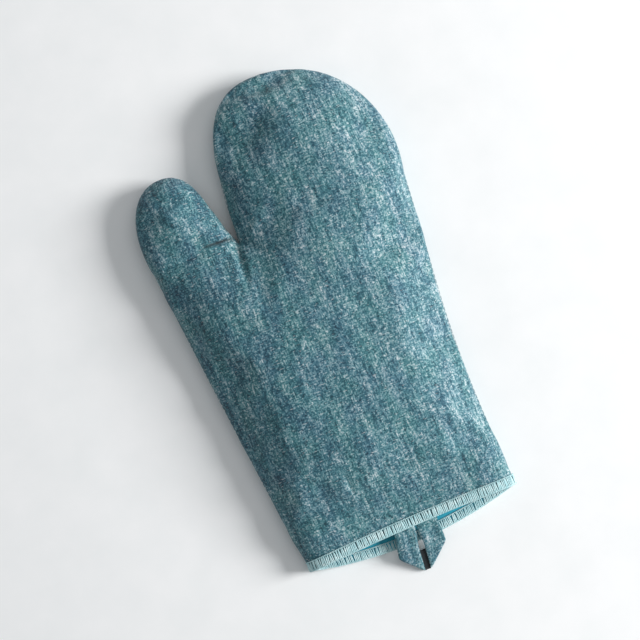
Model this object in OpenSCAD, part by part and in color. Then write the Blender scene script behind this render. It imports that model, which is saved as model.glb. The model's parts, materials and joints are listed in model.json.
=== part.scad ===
// Padded oven mitt, lying palm side down with its cuff open towards -Y.
// Two outer panels, two layers of batting and two lining panels meet along one side
// seam, both cuff lips are overlocked, and a mitred tape loop hangs from the front lip.
// Units are millimetres. X runs across the mitt, Y towards the fingertips, Z up.
// Depths are measured inwards from the outer face of a panel.

/* [Mitt outline] */
// Length from the cuff corners to the fingertip
mitt_length = 330; // [275:5:400]
// Width across the cuff, corner to corner
cuff_width = 156; // [130:2:190]
// How far the hand side stands out beyond the cuff corner
hand_flare = 14; // [6:1:24]
// How far the thumb side stands out beyond the cuff corner
thumb_flare = 19; // [8:1:30]
// Pull in of the wrist on the hand side
wrist_waist = 3; // [0:0.5:8]
// Height of the thumb crotch above the cuff
crotch_height = 228; // [190:2:250]
// Width of the hand at the crotch, which leaves the rest of the width to the thumb
hand_width = 126; // [112:1:134]
// Height of the thumb tip above the crotch
thumb_reach = 61; // [45:1:80]

/* [Layers] */
// Thickness of the outer fabric
shell_t = 0.8; // [0.6:0.1:1.4]
// Thickness of the batting over the hand
batting_t = 5; // [3:0.25:6]
// Thickness of the batting pressed flat in the cuff lip
lip_batting_t = 1.4; // [0.8:0.1:2]
// Thickness of the lining fabric
lining_t = 0.6; // [0.4:0.1:1]
// Space between neighbouring layers
layer_gap = 0.2; // [0.15:0.05:0.3]

/* [Padding shape] */
// Height of the hand pocket above the seam
pocket_above = 8.2; // [6:0.2:16]
// Depth of the hand pocket below the seam
pocket_below = 4.6; // [3:0.2:8]
// Height of the cuff's mouth above the seam
mouth_above = 6.4; // [5:0.2:12]
// Depth of the cuff's mouth below the seam
mouth_below = 2.2; // [2:0.1:5]
// How much rounder the front panel's rim is than its layers need
front_rim_ease = 4.4; // [2:0.2:8]
// How much rounder the back panel's rim is than its layers need
back_rim_ease = 1.4; // [1:0.1:4]
// Distance from the cuff over which the pocket reaches its full height
swell_length = 110; // [60:5:160]

/* [Cuff] */
// Width of the overlocked band on each face of a lip
band_w = 6.4; // [4:0.2:9]
// Thickness of the thread in the overlocked band
band_t = 0.5; // [0.4:0.05:0.8]
// How far the front lip curves in from the corners
front_lip_dip = 2; // [0:0.5:6]
// How far the back lip bows out beyond the corners
back_lip_bow = 10; // [4:1:16]

/* [Hanging loop] */
// Width of the folded tape
tape_w = 14.5; // [10:0.5:20]
// Thickness of the folded tape
tape_t = 1.6; // [1.2:0.1:2.2]
// Width of the eye between the two legs at its wide end
eye_w = 6.4; // [5.8:0.2:9]
// Width of the eye between the two legs at the cuff
eye_top_w = 2; // [1:0.2:4]
// Length of a leg from the cuff to the mitred shoulder
leg_length = 17; // [14:1:30]
// Length of the tape ends sewn inside the cuff
tail_length = 15; // [9:1:24]
// Sideways place of the loop on the cuff
loop_x = 1.5; // [-30:0.5:30]
// Sideways lean of the loop's point
tip_lean = -3.5; // [-5:0.5:5]

/* [Stitches] */
// Length of one stitch of the seams
stitch_length = 3.4; // [2.4:0.1:4]
// Distance from one stitch of the seams to the next
stitch_pitch = 5; // [4.6:0.2:8]
// Thickness of the sewing thread
thread_t = 0.5; // [0.3:0.05:0.6]

/* [Hidden] */

FRONT = 0;
BACK = 1;
THUMB = 0;
HAND = 1;

// The front and back panels stand this far apart along the seam, for its thread.
seam_gap = thread_t + 0.3;
// The overlocked band stands clear of the layers that it wraps by this much.
band_gap = 0.2;
// The panels are drawn in by the band's thickness at the lip, and this is how deep.
lip_tuck = band_t + band_gap;
// Height above the cuff at which the drawn-in stretch of a lip ends.
band_top = band_w + 2;
// Length over which the drawn-in stretch runs out and the batting swells.
lip_fade = 16;
// Distance over which the curve of a lip runs out.
bow_fade = 100;

// Rows along the arm and along a finger, and columns across thumb side and hand side.
arm_rows = 9;
finger_rows = 9;
columns = [8, 12];

function mix(a, b, t) = a + (b - a) * t;
function clamp01(t) = max(0, min(1, t));
function smooth(t) = let (c = clamp01(t)) c * c * (3 - 2 * c);
function bezier(p, t) =
    let (s = 1 - t)
    s * s * s * p[0] + 3 * s * s * t * p[1] + 3 * s * t * t * p[2] + t * t * t * p[3];

// ---- Outline of the seam ----

// Left and right sides of the arm at height y.
function left_side(y) = -cuff_width / 2 - thumb_flare * pow(y / crotch_height, 0.9);
function right_side(y) =
    cuff_width / 2 + hand_flare * pow(y / crotch_height, 2)
    - wrist_waist * sin(180 * clamp01(y / (0.8 * crotch_height)));

// Where the thumb and the hand part, and where each of them ends.
thumb_root = [left_side(crotch_height), crotch_height];
hand_root = [right_side(crotch_height), crotch_height];
crotch = hand_root - [hand_width, 0];
thumb_tip = [mix(thumb_root[0], crotch[0], 0.46), crotch_height + thumb_reach];
hand_tip = [mix(crotch[0], hand_root[0], 0.41), mitt_length];

// The line up the palm that divides the thumb side from the hand side.
function split_line(y) =
    mix(mix(left_side(0), right_side(0), 0.32), crotch[0], y / crotch_height);

// Each side of a finger leans from its root, rises and turns in to meet the tip square.
// These are its lean and the width of its turn, as shares of the finger's width, with
// the height of the turn, as a share of the finger's height, between them.
thumb_outer_run = [-0.07, 0.56, -0.35];
thumb_inner_run = [-0.17, 0.5, 0.4];
hand_inner_run = [0.024, 0.6, -0.3];
hand_outer_run = [0.1, 0.58, 0.37];
function finger_side(root, tip, width, run, t) = bezier([
    root,
    root + [run[0] * width, run[1] * (tip[1] - root[1])],
    tip + [run[2] * width, 0],
    tip
], t);

thumb_width = crotch[0] - thumb_root[0];
function left_edge(strip, t) = strip == THUMB
    ? finger_side(thumb_root, thumb_tip, thumb_width, thumb_outer_run, t)
    : finger_side(crotch, hand_tip, hand_width, hand_inner_run, t);
function right_edge(strip, t) = strip == THUMB
    ? finger_side(crotch, thumb_tip, thumb_width, thumb_inner_run, t)
    : finger_side(hand_root, hand_tip, hand_width, hand_outer_run, t);

// Heights of the arm's rows above the cuff: three in the lip, then wider and wider.
function arm_row(i) = i < 2 ? mix(band_gap + band_t, band_top, i)
    : band_top + (crotch_height - band_top) * pow((i - 1) / (arm_rows - 1), 1.5);
function finger_row(i) = pow(i / finger_rows, 0.9);
// Columns stand closer together near both edges of a strip.
function column(strip, j) = (1 - cos(180 * j / columns[strip])) / 2;

// The outline passes through every row, and through points between the fingers' rows.
side_heights = [for (i = [0 : arm_rows]) i == 0 ? 0 : arm_row(i)];
between = 3;
upwards = [for (k = [1 : between * finger_rows]) finger_row(k / between)];
downwards = [for (k = [between * finger_rows - 1 : -1 : 0]) finger_row(k / between)];
outline = concat(
    [for (y = side_heights) [left_side(y), y]],
    [for (t = upwards) left_edge(THUMB, t)],
    [for (t = downwards) right_edge(THUMB, t)],
    [for (t = upwards) left_edge(HAND, t)],
    [for (t = downwards) right_edge(HAND, t)],
    [for (i = [arm_rows - 1 : -1 : 0]) [right_side(side_heights[i]), side_heights[i]]]
);

// Nearest point of the segment a-b to p.
function nearest(p, a, b) =
    let (ab = b - a, t = clamp01((p - a) * ab / (ab * ab)))
    a + ab * t;

// Distance from p to the outline, and the direction that leads inwards from it. Next to
// the outline the direction is square to the segments that meet there.
on_outline = 0.2;
function reach_in(p) =
    let (
        last = len(outline) - 2,
        gaps = [for (k = [0 : last]) norm(p - nearest(p, outline[k], outline[k + 1]))],
        d = min(gaps),
        hit = [for (k = [0 : last]) if (gaps[k] < d + 0.001) k],
        away = d > on_outline
            ? p - nearest(p, outline[hit[0]], outline[hit[0] + 1])
            : total([for (k = hit) inward_normal(outline[k + 1] - outline[k])])
    )
    [d > on_outline ? d : 0, away / norm(away)];
function inward_normal(v) = [v[1], -v[0]] / norm(v);
function total(v, i = 0) = i == len(v) - 1 ? v[i] : v[i] + total(v, i + 1);

// ---- Surface of a panel ----

// How far a lip stands from the straight line between the cuff corners.
function lip_curve(face, x) =
    (face == FRONT ? front_lip_dip : -back_lip_bow) * (1 - pow(2 * x / cuff_width, 2));

// Place in plan of a point at height h above the lip and share f across a strip.
function arm_plan(face, strip, h, f) =
    let (
        left = strip == THUMB ? left_side(h) : split_line(h),
        right = strip == THUMB ? split_line(h) : right_side(h),
        x = mix(left, right, f),
        at_cuff = mix(
            strip == THUMB ? left_side(0) : split_line(0),
            strip == THUMB ? split_line(0) : right_side(0), f),
        fade = pow(1 - clamp01(h / bow_fade), 2)
    )
    [x, h + fade * lip_curve(face, at_cuff)];

// A seam point carries its place in plan, its height above the lip, its distance from
// the outline and the direction inwards.
function seam_point(plan, h) =
    let (r = reach_in(plan))
    [plan, h, r[0], r[1]];

function strip_points(face, strip) = concat(
    [for (i = [0 : arm_rows]) [for (j = [0 : columns[strip]])
        seam_point(arm_plan(face, strip, arm_row(i), column(strip, j)), arm_row(i))]],
    [for (i = [1 : finger_rows]) [for (j = [0 : columns[strip]])
        let (
            plan = mix(left_edge(strip, finger_row(i)), right_edge(strip, finger_row(i)),
                column(strip, j))
        )
        seam_point(plan, plan[1])]]
);

// How far a panel's outer face stands from the seam at height h above the lip: the
// pocket's share and every layer of the panel. Its rim is as wide as keeps the round of
// its edge larger than the depth of the layers.
function pocket(face, h) = face == FRONT
    ? mix(mouth_above, pocket_above, smooth(h / swell_length))
    : mix(mouth_below, pocket_below, smooth(h / swell_length));
function panel_depth(h) = lining_depths(h)[1] + tuck(h);
function rise(face, h) = pocket(face, h) + panel_depth(h);
function rim(face, h) =
    pow(rise(face, h), 2) / (panel_depth(h) + (face == FRONT ? front_rim_ease : back_rim_ease));
function seam_height(h) = rise(BACK, h);

// Point of a panel at a depth below its outer face. The rim is a quarter of an ellipse
// in section, and depths are measured square to it.
function panel_point(face, point, depth) =
    let (
        h = point[1],
        w = rim(face, h),
        top = rise(face, h),
        a = clamp01(1 - point[2] / w),
        z = top * sqrt(1 - a * a),
        slope = [a / w, z / (top * top)],
        out = slope / norm(slope),
        plan = point[0] + point[3] * depth * out[0],
        up = z - depth * out[1]
    )
    [plan[0], plan[1], face == FRONT ? seam_height(h) + seam_gap + up : seam_height(h) - up];

// Depths at height h above the lip of each layer's outer and inner face.
function tuck(h) = lip_tuck * (1 - smooth((h - band_top) / lip_fade));
function batting_at(h) = mix(lip_batting_t, batting_t, smooth((h - band_top) / lip_fade));
function shell_depths(h) = [tuck(h), tuck(h) + shell_t];
function batting_depths(h) =
    let (d = shell_depths(h)[1] + layer_gap) [d, d + batting_at(h)];
function lining_depths(h) =
    let (d = batting_depths(h)[1] + layer_gap) [d, d + lining_t];
// Whole thickness of a lip with its band.
lip_t = panel_depth(0);

// ---- Closed surfaces ----

// Triangles of a grid of points, and of the strip between two lines of points. Those
// with no area, where a finger's rows run together at its tip, are left out.
function has_area(t) = norm(cross(t[1] - t[0], t[2] - t[0])) > 0.00001;
function quad(a, b, c, d) = [for (t = [[a, b, c], [a, c, d]]) if (has_area(t)) t];
function grid_skin(g) = [
    for (i = [0 : len(g) - 2]) for (j = [0 : len(g[0]) - 2])
        each quad(g[i][j], g[i][j + 1], g[i + 1][j + 1], g[i + 1][j])
];
function wall(a, b) = grid_skin([a, b]);
function flipped(triangles) = [for (t = triangles) [t[0], t[2], t[1]]];
function one_column(g, j, from = 0) = [for (i = [from : len(g) - 1]) g[i][j]];

module closed_surface(triangles) {
    polyhedron(
        points = [for (t = triangles) each t],
        faces = [for (k = [0 : len(triangles) - 1]) [3 * k + 2, 3 * k + 1, 3 * k]]
    );
}

// One layer of a panel, between an outer and an inner depth that vary up the cuff.
module layer(face, depths) {
    strips = [for (strip = [THUMB, HAND]) strip_points(face, strip)];
    outer = [for (g = strips) [for (row = g) [for (p = row)
        panel_point(face, p, depths(p[1])[0])]]];
    inner = [for (g = strips) [for (row = g) [for (p = row)
        panel_point(face, p, depths(p[1])[1])]]];
    skin = [for (s = [THUMB, HAND]) each concat(
        grid_skin(outer[s]),
        flipped(grid_skin(inner[s])),
        wall(inner[s][0], outer[s][0]),
        // The inner edge of each strip is open only above the crotch.
        flipped(wall(
            one_column(inner[s], 0, s == HAND ? arm_rows : 0),
            one_column(outer[s], 0, s == HAND ? arm_rows : 0))),
        wall(
            one_column(inner[s], columns[s], s == THUMB ? arm_rows : 0),
            one_column(outer[s], columns[s], s == THUMB ? arm_rows : 0))
    )];
    closed_surface(face == FRONT ? skin : flipped(skin));
}

module shell(face) { layer(face, function(h) shell_depths(h)); }
module batting(face) { layer(face, function(h) batting_depths(h)); }
module lining(face) { layer(face, function(h) lining_depths(h)); }

module shell_front() { color("#6E979F") placed() shell(FRONT); }
module shell_back() { color("#6E979F") placed() shell(BACK); }
module batting_front() { color("#F1EEE6") placed() batting(FRONT); }
module batting_back() { color("#F1EEE6") placed() batting(BACK); }
module lining_front() { color("#23798C") placed() lining(FRONT); }
module lining_back() { color("#23798C") placed() lining(BACK); }

// ---- Overlocked lips ----

// The band's section: heights above the lip's edge and depths, out along the outer
// face, round the edge and back along the inner face.
function band_section() = [
    [band_w, 0], [0, 0], [0, lip_t], [band_w, lip_t],
    [band_w, lip_t - band_t], [band_t, lip_t - band_t], [band_t, band_t], [band_w, band_t]
];

module overlock(face) {
    stations = concat(
        [for (j = [0 : columns[THUMB]]) [THUMB, column(THUMB, j)]],
        [for (j = [1 : columns[HAND]]) [HAND, column(HAND, j)]]
    );
    rings = [for (s = stations) [for (p = band_section())
        panel_point(face, seam_point(arm_plan(face, s[0], p[0], s[1]), p[0]), p[1])]];
    loops = [for (r = rings) concat(r, [r[0]])];
    // Each end is two plates on the legs of the U and one across its edge.
    skin = concat(
        grid_skin(loops),
        flipped(band_end(rings[0])),
        band_end(rings[len(rings) - 1])
    );
    closed_surface(face == FRONT ? skin : flipped(skin));
}
function band_end(r) = concat(
    quad(r[0], r[1], r[6], r[7]),
    quad(r[1], r[2], r[5], r[6]),
    quad(r[2], r[3], r[4], r[5])
);

module overlock_front() { color("#A9D3D6") placed() overlock(FRONT); }
module overlock_back() { color("#A9D3D6") placed() overlock(BACK); }

// ---- Seams ----

function lengths(path) = [for (k = [0 : len(path) - 2]) norm(path[k + 1] - path[k])];
function running(v) = [for (k = 0, s = 0; k <= len(v); s = s + (k < len(v) ? v[k] : 0), k = k + 1) s];
// Point of a path at distance s along it.
function along(path, marks, s) =
    let (k = max([for (i = [0 : len(path) - 2]) if (marks[i] <= s) i]))
    mix(path[k], path[k + 1], (s - marks[k]) / (marks[k + 1] - marks[k]));

// Triangles of a thread laid straight from a to b, square in section.
function stitch(a, b, t) =
    let (
        v = (b - a) / norm(b - a),
        side = cross(v, [0, 0, 1]) * t / (2 * norm(cross(v, [0, 0, 1]))),
        up = cross(side, v) * t / (2 * norm(cross(side, v))),
        end_a = [a + side + up, a - side + up, a - side - up, a + side - up],
        end_b = [b + side + up, b - side + up, b - side - up, b + side - up]
    )
    concat(
        grid_skin([concat(end_a, [end_a[0]]), concat(end_b, [end_b[0]])]),
        quad(end_a[3], end_a[2], end_a[1], end_a[0]),
        quad(end_b[0], end_b[1], end_b[2], end_b[3])
    );

// Stitches that close the side seam, in the gap between the front and back panels.
module seam_stitches(depths) {
    path = [for (p = outline)
        let (
            r = reach_in(p),
            d = depths(p[1]),
            inset = p + r[1] * (d[0] + d[1]) / 2
        )
        [inset[0], inset[1], seam_height(p[1]) + seam_gap / 2]];
    marks = running(lengths(path));
    first = band_w + stitch_pitch;
    count = floor((marks[len(marks) - 1] - 2 * first) / stitch_pitch);
    closed_surface(flipped([for (k = [0 : count - 1])
        let (s = first + k * stitch_pitch)
        each stitch(along(path, marks, s), along(path, marks, s + stitch_length), thread_t)]));
}

module shell_seam_stitches() {
    color("#4F7F88") placed() seam_stitches(function(h) shell_depths(h));
}
module lining_seam_stitches() {
    color("#1F6C7D") placed() seam_stitches(function(h) lining_depths(h));
}

// ---- Hanging loop ----

// Centre line of the tape where it leaves the cuff: just clear of the lip's edge.
tape_gap = 0.3;
hinge_y = lip_curve(FRONT, loop_x) - tape_t / 2 - 2 * tape_gap;
hinge_z = seam_height(0) + seam_gap + mouth_above - tape_gap - tape_t / 2;
half_loop = tape_w + eye_w / 2;
pressed_in = 0.1;
// The loop hangs down until the underside of its point is this far above the ground.
tip_clearance = 0.1;
loop_reach = leg_length + half_loop;
loop_droop = asin((hinge_z - tip_clearance - 1.5 * tape_t) / loop_reach);

loop_tip_y = hinge_y - loop_reach * cos(loop_droop) + tape_t / 2 * sin(loop_droop);

module in_loop() {
    placed() translate([loop_x, hinge_y, hinge_z]) rotate([loop_droop, 0, 0]) children();
}

// One leg of the tape, from the cuff to its mitred end, for side -1 or 1.
module leg(side) {
    translate([0, 0, -tape_t / 2]) linear_extrude(tape_t) polygon([
        [side * eye_top_w / 2, 0],
        [side * (eye_top_w / 2 + tape_w), 0],
        [side * half_loop, -leg_length],
        [tip_lean + side * eye_w / 6, -loop_reach + eye_w / 6],
        [tip_lean + side * eye_w / 6, -loop_reach + eye_w],
        [side * eye_w / 2, -leg_length]
    ]);
}

// The tape crosses behind its legs between the two mitres, pressed against them.
module point() {
    translate([0, 0, -tape_t * 1.5]) linear_extrude(tape_t + pressed_in) polygon([
        [-half_loop, -leg_length],
        [half_loop, -leg_length],
        [tip_lean, -loop_reach]
    ]);
}

module hanging_loop() {
    color("#7FA3AA") in_loop() union() {
        leg(-1);
        leg(1);
        point();
    }
}

// Stitches along the eye side of each leg, which close the folded tape.
module loop_edge_stitches() {
    count = floor((leg_length - 3) / 3);
    inset = 1.5;
    color("#4F7F88") in_loop() for (side = [-1, 1]) for (k = [0 : count - 1])
        let (
            y = -1.5 - 3 * k,
            x = side * (mix(eye_top_w, eye_w, -y / leg_length) / 2 + inset)
        )
        translate([x, y - 1, tape_t / 2 + thread_t / 2 + 0.05])
        cube([thread_t, 2, thread_t], center = true);
}

// The tape ends lie under the front lip's band and lining, and follow them.
function under_lip(x, h, depth) =
    let (plan = [x, h + pow(1 - clamp01(h / bow_fade), 2) * lip_curve(FRONT, x)])
    panel_point(FRONT, seam_point(plan, h), depth);
function tape_depth(h) = lining_depths(h)[1] + lip_tuck + tape_gap;

module loop_tails() {
    rows = 6;
    color("#7FA3AA") placed() for (side = [-1, 1]) {
        near = loop_x + side * eye_top_w / 2;
        far = loop_x + side * (eye_top_w / 2 + tape_w);
        rings = [for (i = [0 : rows])
            let (
                h = tail_length * i / rows,
                top = tape_depth(h),
                a = under_lip(min(near, far), h, top),
                b = under_lip(max(near, far), h, top),
                c = under_lip(max(near, far), h, top + tape_t),
                d = under_lip(min(near, far), h, top + tape_t)
            )
            [a, b, c, d]];
        closed_surface(concat(
            grid_skin([for (r = rings) concat(r, [r[0]])]),
            flipped(quad(rings[0][0], rings[0][1], rings[0][2], rings[0][3])),
            quad(rings[rows][0], rings[rows][1], rings[rows][2], rings[rows][3])
        ));
    }
}

// Bars of close stitches that hold each tape end, across its width.
module loop_bar_tacks() {
    bars = 6;
    bar_length = 2;
    color("#4F7F88") placed() closed_surface(flipped([
        for (side = [-1, 1]) for (k = [0 : bars - 1])
            let (
                x = loop_x + side * (eye_top_w / 2 + tape_w * (k + 0.75) / (bars + 0.5)),
                ends = [for (h = [tail_length - 2 - bar_length, tail_length - 2])
                    under_lip(x, h, tape_depth(h) + tape_t + thread_t)]
            )
            each stitch(ends[0], ends[1], thread_t)
    ]));
}

// The origin is on the ground, in the middle of everything that the object covers.
middle = [
    (min([for (p = outline) p[0]]) + max([for (p = outline) p[0]])) / 2,
    (mitt_length + loop_tip_y) / 2
];
module placed() { translate([-middle[0], -middle[1], 0]) children(); }

shell_front();
shell_back();
batting_front();
batting_back();
lining_front();
lining_back();
overlock_front();
overlock_back();
shell_seam_stitches();
lining_seam_stitches();
loop_tails();
loop_bar_tacks();
hanging_loop();
loop_edge_stitches();
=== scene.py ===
"""Looks of a padded linen oven mitt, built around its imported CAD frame.

The mitt lies palm side down with its cuff towards -Y. Shapes are worked out in
millimetres from the cuff's corners, as the part is drawn, and meshes are made in metres
in the frame's own axes.
"""
import json
import math

import bpy
import numpy as np
from mathutils import Matrix, Vector
from mathutils.kdtree import KDTree


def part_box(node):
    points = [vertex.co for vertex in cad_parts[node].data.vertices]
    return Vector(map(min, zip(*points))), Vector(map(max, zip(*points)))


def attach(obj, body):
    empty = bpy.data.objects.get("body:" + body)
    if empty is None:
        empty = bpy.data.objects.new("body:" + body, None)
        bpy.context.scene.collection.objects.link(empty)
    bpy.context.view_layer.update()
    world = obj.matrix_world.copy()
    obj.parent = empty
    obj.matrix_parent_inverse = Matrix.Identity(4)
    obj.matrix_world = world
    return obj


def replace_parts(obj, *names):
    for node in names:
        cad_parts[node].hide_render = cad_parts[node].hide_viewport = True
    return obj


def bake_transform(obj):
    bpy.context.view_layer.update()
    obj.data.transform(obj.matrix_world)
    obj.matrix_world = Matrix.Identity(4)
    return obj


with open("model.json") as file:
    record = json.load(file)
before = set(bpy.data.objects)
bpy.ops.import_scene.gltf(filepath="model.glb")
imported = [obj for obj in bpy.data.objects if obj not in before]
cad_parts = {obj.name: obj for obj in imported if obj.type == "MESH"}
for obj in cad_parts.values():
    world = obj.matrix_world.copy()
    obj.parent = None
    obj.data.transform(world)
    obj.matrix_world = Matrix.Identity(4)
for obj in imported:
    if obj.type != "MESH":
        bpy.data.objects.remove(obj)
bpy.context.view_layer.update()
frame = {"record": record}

MM = 0.001
FRONT, BACK = 0, 1
THUMB, HAND = 0, 1
dice = np.random.default_rng(7)

# ---- Sizes of the mitt, in millimetres ----

MITT_LENGTH = 330.0
CUFF_WIDTH = 156.0
HAND_FLARE = 14.0
THUMB_FLARE = 19.0
WRIST_WAIST = 3.0
CROTCH_HEIGHT = 228.0
HAND_WIDTH = 126.0
THUMB_REACH = 61.0

SHELL_T = 0.8
BATTING_T = 5.0
LIP_BATTING_T = 1.4
LINING_T = 0.6
LAYER_GAP = 0.2
BAND_W = 6.4
THREAD_TUCK = 0.7
LIP_FADE = 16.0

# Heights of the pocket above and below the seam, at the cuff and over the hand.
MOUTH = {FRONT: 6.4, BACK: 2.2}
POCKET = {FRONT: 8.2, BACK: 4.6}
SWELL_LENGTH = 110.0
# Widths of the rounded rim, and the share of the height that the broad crown takes.
RIM_W = {FRONT: 21.0, BACK: 15.0}
CROWN_W = 78.0
CROWN_SHARE = {FRONT: 0.3, BACK: 0.0}
# The filled cloth crowns this much higher over the middle of the hand.
CROWN_RISE = {FRONT: 4.5, BACK: 0.0}
FRONT_LIP_DIP = 2.0
BACK_LIP_BOW = 10.0
BOW_FADE = 100.0

# Rows and columns of the cloth, about 4 mm apart.
ARM_ROWS = 60
FINGER_ROWS = 32
COLUMNS = {THUMB: 18, HAND: 32}
# Points this near each other are one point of the bag.
JOIN_WITHIN = 0.03


def mix(a, b, t):
    return a + (b - a) * t


def smooth(t):
    c = np.clip(t, 0, 1)
    return c * c * (3 - 2 * c)


# ---- Outline of the side seam ----

def left_side(y):
    return -CUFF_WIDTH / 2 - THUMB_FLARE * (np.maximum(y, 0) / CROTCH_HEIGHT) ** 0.9


def right_side(y):
    waist = WRIST_WAIST * np.sin(math.pi * np.clip(y / (0.8 * CROTCH_HEIGHT), 0, 1))
    return CUFF_WIDTH / 2 + HAND_FLARE * (y / CROTCH_HEIGHT) ** 2 - waist


THUMB_ROOT = np.array([left_side(CROTCH_HEIGHT), CROTCH_HEIGHT])
HAND_ROOT = np.array([right_side(CROTCH_HEIGHT), CROTCH_HEIGHT])
CROTCH = HAND_ROOT - [HAND_WIDTH, 0]
THUMB_TIP = np.array([mix(THUMB_ROOT[0], CROTCH[0], 0.46), CROTCH_HEIGHT + THUMB_REACH])
HAND_TIP = np.array([mix(CROTCH[0], HAND_ROOT[0], 0.41), MITT_LENGTH])
THUMB_WIDTH = CROTCH[0] - THUMB_ROOT[0]


def split_line(y):
    start = mix(left_side(0), right_side(0), 0.32)
    return mix(start, CROTCH[0], y / CROTCH_HEIGHT)


def finger_side(root, tip, width, lean, rise, turn, t):
    """A side of a finger leans from its root, rises and turns in to meet the tip square."""
    points = [root, root + [lean * width, rise * (tip[1] - root[1])], tip + [turn * width, 0], tip]
    t = np.asarray(t, float)[..., None]
    s = 1 - t
    return s ** 3 * points[0] + 3 * s * s * t * points[1] + 3 * s * t * t * points[2] + t ** 3 * points[3]


def finger_edges(strip, t):
    if strip == THUMB:
        return (finger_side(THUMB_ROOT, THUMB_TIP, THUMB_WIDTH, -0.07, 0.56, -0.35, t),
                finger_side(CROTCH, THUMB_TIP, THUMB_WIDTH, -0.17, 0.5, 0.4, t))
    return (finger_side(CROTCH, HAND_TIP, HAND_WIDTH, 0.024, 0.6, -0.3, t),
            finger_side(HAND_ROOT, HAND_TIP, HAND_WIDTH, 0.1, 0.58, 0.37, t))


def seam_outline():
    """The side seam from one cuff corner to the other, as a fine line of points."""
    ys = np.linspace(-12, CROTCH_HEIGHT, 120)
    t = np.linspace(0, 1, 60)
    thumb, hand = finger_edges(THUMB, t), finger_edges(HAND, t)
    return np.concatenate([
        np.stack([left_side(ys), ys], 1), thumb[0][1:], thumb[1][::-1][1:],
        hand[0][1:], hand[1][::-1][1:], np.stack([right_side(ys), ys], 1)[::-1][1:]])


OUTLINE = seam_outline()
STEPS = OUTLINE[1:] - OUTLINE[:-1]
# Where the part's frame puts the middle of the cuff.
SEAM_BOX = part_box("shell_front")
SHIFT = np.array([SEAM_BOX[0].x / MM - OUTLINE[:, 0].min(), SEAM_BOX[1].y / MM - MITT_LENGTH, 0])


def reach_in(plan):
    """Distance of each point from the outline, and the direction that leads inwards."""
    flat = plan.reshape(-1, 2)
    rel = flat[:, None] - OUTLINE[None, :-1]
    t = np.clip((rel * STEPS).sum(2) / (STEPS ** 2).sum(1), 0, 1)
    off = rel - STEPS * t[..., None]
    gaps = np.linalg.norm(off, axis=2)
    k = gaps.argmin(1)
    rows = np.arange(len(flat))
    d = gaps[rows, k]
    square = np.stack([STEPS[:, 1], -STEPS[:, 0]], 1)
    square /= np.linalg.norm(square, axis=1, keepdims=True)
    before = np.maximum(k - 1, 0)
    after = np.minimum(k + 1, len(STEPS) - 1)
    on = square[before] + square[k] + square[after]
    away = np.where(d[:, None] > 0.3, off[rows, k], on)
    away /= np.linalg.norm(away, axis=1, keepdims=True)
    return np.where(d > 0.05, d, 0).reshape(plan.shape[:-1]), away.reshape(plan.shape)


# ---- Surface of a panel ----

def lip_curve(face, x):
    bow = FRONT_LIP_DIP if face == FRONT else -BACK_LIP_BOW
    return bow * (1 - np.clip(2 * x / CUFF_WIDTH, -1, 1) ** 2)


def height_above_lip(face, plan):
    """How far up the cloth a point lies from its lip."""
    h = plan[..., 1].copy()
    for _ in range(8):
        h = plan[..., 1] - (1 - np.clip(h / BOW_FADE, 0, 1)) ** 2 * lip_curve(face, plan[..., 0])
    return h


def tuck(h):
    return THREAD_TUCK * (1 - smooth((h - BAND_W - 2) / LIP_FADE))


def batting_at(h):
    return mix(LIP_BATTING_T, BATTING_T, smooth((h - BAND_W - 2) / LIP_FADE))


def panel_depth(h):
    return 2 * tuck(h) + SHELL_T + batting_at(h) + LINING_T + 2 * LAYER_GAP


def rise(face, h):
    return mix(MOUTH[face], POCKET[face], smooth(h / SWELL_LENGTH)) + panel_depth(h)


def profile(face, d, h):
    """Height of the outer face above the seam, and its slope inwards."""
    top = rise(face, h)
    rim = np.clip(1 - d / RIM_W[face], 0, 1)
    edge = np.sqrt(1 - rim ** 2)
    edge_slope = rim / np.maximum(edge, 0.002) / RIM_W[face]
    broad = np.clip(d / CROWN_W, 0, 1) * math.pi / 2
    share = CROWN_SHARE[face] * smooth(h / 60)
    crown = CROWN_RISE[face] * smooth((h - 6) / 70)
    z = top * mix(edge, np.sin(broad), share) + crown * np.sin(broad)
    slope = top * mix(edge_slope, np.cos(broad) * math.pi / 2 / CROWN_W, share)
    slope = slope + crown * np.cos(broad) * math.pi / 2 / CROWN_W
    return z, np.where(d > 0, slope, 500.0)


def surface(face, plan, h, depth=0.0):
    """Points of a panel at a depth below its outer face, in millimetres from the cuff."""
    d, away = reach_in(plan)
    z, slope = profile(face, d, h)
    size = np.sqrt(1 + slope ** 2)
    z = z - depth / size
    moved = plan + away * (depth * slope / size)[..., None]
    seam = rise(BACK, h)
    return np.concatenate([moved, (seam + z if face == FRONT else seam - z)[..., None]], -1)


def outward(face, plan):
    """Direction out of a panel's outer face, which its layers are stacked against."""
    d, away = reach_in(plan)
    _, slope = profile(face, d, height_above_lip(face, plan))
    size = np.sqrt(1 + slope ** 2)
    up = (1 if face == FRONT else -1) / size
    return np.concatenate([-away * (slope / size)[:, None], up[:, None]], 1)


def cloth_place(plan):
    """Where a point lies on the flat cut of its panel.

    The rim's cloth is longer than its plan, so the cut reaches out past the outline.
    """
    d, away = reach_in(plan)
    fine = np.linspace(0, RIM_W[FRONT], 200)
    _, slope = profile(FRONT, np.maximum(fine, 0.2), np.full(200, SWELL_LENGTH))
    extra = np.concatenate([[0], np.cumsum((np.sqrt(1 + slope ** 2) - 1)[1:] * np.diff(fine))])
    return plan - away * (extra[-1] - np.interp(d, fine, extra))[..., None]


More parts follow.
